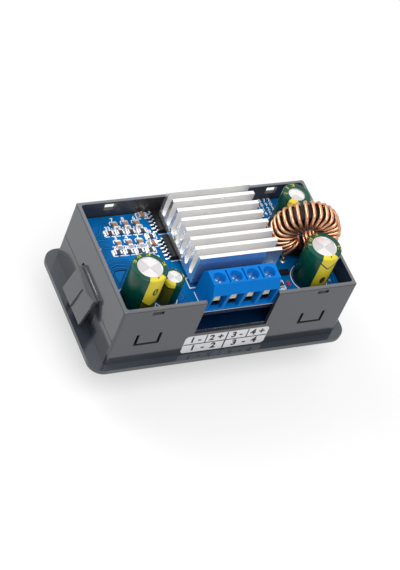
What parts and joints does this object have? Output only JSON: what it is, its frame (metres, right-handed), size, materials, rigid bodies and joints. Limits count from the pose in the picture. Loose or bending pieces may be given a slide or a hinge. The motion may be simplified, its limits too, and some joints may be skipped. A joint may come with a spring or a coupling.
{
  "type": "buck-boost converter module",
  "caption": "Panel-mount buck-boost converter module: open-backed snap-in case with display, keys and knob, and a board with finned heatsink, ring inductor and screw terminal.",
  "frame": {"origin": "middle of the panel seat, the rear face of the bezel, on the case's centre line", "axes": "+X along the length, towards the inductor; +Z out of the open rear; -Y to the side where the wires enter"},
  "size_m": [0.079, 0.043, 0.0487],
  "materials": {
    "case_plastic": "fine satin moulding",
    "clip_plastic": "fine satin moulding",
    "window_pane": "clear polished pane with a smoke tint",
    "display_glass": "dark grey-green glass",
    "lamp_plastic": "white diffuser",
    "key_plastic": "light grey moulding",
    "switch_plastic": "black moulding",
    "plunger_plastic": "cream moulding",
    "encoder_zinc": "plain zinc",
    "shaft_metal": "turned",
    "knob_plastic": "soft black moulding",
    "board_blue": "blue solder mask over copper",
    "control_blue": "dark blue solder mask",
    "chip_black": "moulded epoxy",
    "header_black": "black moulding",
    "tin": "bright tin plate",
    "pin_brass": "thin gilt plate",
    "pad_grey": "dark silicone sheet",
    "sink_aluminium": "plain extruded",
    "can_aluminium": "drawn can",
    "sleeve_green": "shrunk film with a stripe",
    "core_black": "painted powder core",
    "wire_copper": "enamelled copper",
    "terminal_blue": "bright moulding",
    "screw_steel": "nickel plate",
    "chip_ceramic": "fired brown ceramic",
    "resistor_black": "glazed black top",
    "diode_red": "red lens",
    "label_film": "pale printed film"
  },
  "bodies": {
    "module": {"case": "case_plastic", "display_window": "window_pane", "display_glass": "display_glass", "back_light": "lamp_plastic", "encoder_body": "encoder_zinc", "control_board": "control_blue", "controller_chip": "chip_black", "header_socket": "header_black", "header_strip": "header_black", "header_pins": "pin_brass", "power_board": "board_blue", "transistor_bodies": "chip_black", "transistor_leads": "tin", "thermal_pad": "pad_grey", "heatsink": "sink_aluminium", "inductor_core": "core_black", "inductor_winding": "wire_copper", "terminal_housing": "terminal_blue", "terminal_contacts": "tin", "chip_capacitors": "chip_ceramic", "chip_resistors": "resistor_black", "chip_ends": "tin", "small_transistor": "chip_black", "red_chip": "diode_red", "label": "label_film", "key_switch_1": "switch_plastic", "key_switch_2": "switch_plastic", "key_switch_3": "switch_plastic", "capacitor_left": "can_aluminium", "sleeve_left": "sleeve_green", "capacitor_small": "can_aluminium", "sleeve_small": "sleeve_green", "capacitor_back": "can_aluminium", "sleeve_back": "sleeve_green", "capacitor_right": "can_aluminium", "sleeve_right": "sleeve_green"},
    "clip_left": {"side_clip_left": "clip_plastic"},
    "clip_right": {"side_clip_right": "clip_plastic"},
    "push_rod": {"encoder_push_rod": "plunger_plastic"},
    "turning_knob": {"encoder_shaft": "shaft_metal", "knob": "knob_plastic"},
    "pressed_key_1": {"key_1": "key_plastic", "key_plunger_1": "plunger_plastic"},
    "pressed_key_2": {"key_2": "key_plastic", "key_plunger_2": "plunger_plastic"},
    "pressed_key_3": {"key_3": "key_plastic", "key_plunger_3": "plunger_plastic"},
    "screw_1": {"terminal_screw_1": "screw_steel"},
    "cage_1": {"wire_cage_1": "tin"},
    "screw_2": {"terminal_screw_2": "screw_steel"},
    "cage_2": {"wire_cage_2": "tin"},
    "screw_3": {"terminal_screw_3": "screw_steel"},
    "cage_3": {"wire_cage_3": "tin"},
    "screw_4": {"terminal_screw_4": "screw_steel"},
    "cage_4": {"wire_cage_4": "tin"}
  },
  "joints": [
    {"name": "clip_left_press", "type": "hinge", "parent": "module", "child": "clip_left", "pos_m": [-0.0346, -0.0005, 0.011], "axis": [0, -1, 0], "range_deg": [0, 18], "stiffness_Nm_per_rad": 0.01, "springref_deg": -2.86},
    {"name": "clip_right_press", "type": "hinge", "parent": "module", "child": "clip_right", "pos_m": [0.0346, -0.0005, 0.011], "axis": [0, 1, 0], "range_deg": [0, 18], "stiffness_Nm_per_rad": 0.01, "springref_deg": -2.86},
    {"name": "key_1_press", "type": "slide", "parent": "module", "child": "pressed_key_1", "axis": [0, 0, 1], "range_m": [0, 0.0004], "stiffness_N_per_m": 100, "springref_m": -0.0002},
    {"name": "key_2_press", "type": "slide", "parent": "module", "child": "pressed_key_2", "axis": [0, 0, 1], "range_m": [0, 0.0004], "stiffness_N_per_m": 100, "springref_m": -0.0002},
    {"name": "key_3_press", "type": "slide", "parent": "module", "child": "pressed_key_3", "axis": [0, 0, 1], "range_m": [0, 0.0004], "stiffness_N_per_m": 100, "springref_m": -0.0002},
    {"name": "knob_push", "type": "slide", "parent": "module", "child": "push_rod", "axis": [0, 0, 1], "range_m": [0, 0.0005], "stiffness_N_per_m": 300, "springref_m": -0.0003},
    {"name": "knob_turn", "type": "hinge", "parent": "push_rod", "child": "turning_knob", "pos_m": [-0.0235, 0.003, 0], "axis": [0, 0, -1], "continuous": true},
    {"name": "screw_1_turn", "type": "hinge", "parent": "module", "child": "screw_1", "pos_m": [-0.00709, -0.01485, 0.024], "axis": [0, 0, -1], "range_deg": [0, 1080]},
    {"name": "cage_1_lift", "type": "slide", "parent": "module", "child": "cage_1", "axis": [0, 0, 1], "range_m": [0, 0.0015]},
    {"name": "screw_2_turn", "type": "hinge", "parent": "module", "child": "screw_2", "pos_m": [-0.00205, -0.01485, 0.024], "axis": [0, 0, -1], "range_deg": [0, 1080]},
    {"name": "cage_2_lift", "type": "slide", "parent": "module", "child": "cage_2", "axis": [0, 0, 1], "range_m": [0, 0.0015]},
    {"name": "screw_3_turn", "type": "hinge", "parent": "module", "child": "screw_3", "pos_m": [0.00299, -0.01485, 0.024], "axis": [0, 0, -1], "range_deg": [0, 1080]},
    {"name": "cage_3_lift", "type": "slide", "parent": "module", "child": "cage_3", "axis": [0, 0, 1], "range_m": [0, 0.0015]},
    {"name": "screw_4_turn", "type": "hinge", "parent": "module", "child": "screw_4", "pos_m": [0.00803, -0.01485, 0.024], "axis": [0, 0, -1], "range_deg": [0, 1080]},
    {"name": "cage_4_lift", "type": "slide", "parent": "module", "child": "cage_4", "axis": [0, 0, 1], "range_m": [0, 0.0015]}
  ],
  "couplings": [
    {"joint": "screw_1_turn", "follows": "cage_1_lift", "rad_per_m": 12566},
    {"joint": "screw_2_turn", "follows": "cage_2_lift", "rad_per_m": 12566},
    {"joint": "screw_3_turn", "follows": "cage_3_lift", "rad_per_m": 12566},
    {"joint": "screw_4_turn", "follows": "cage_4_lift", "rad_per_m": 12566}
  ]
}
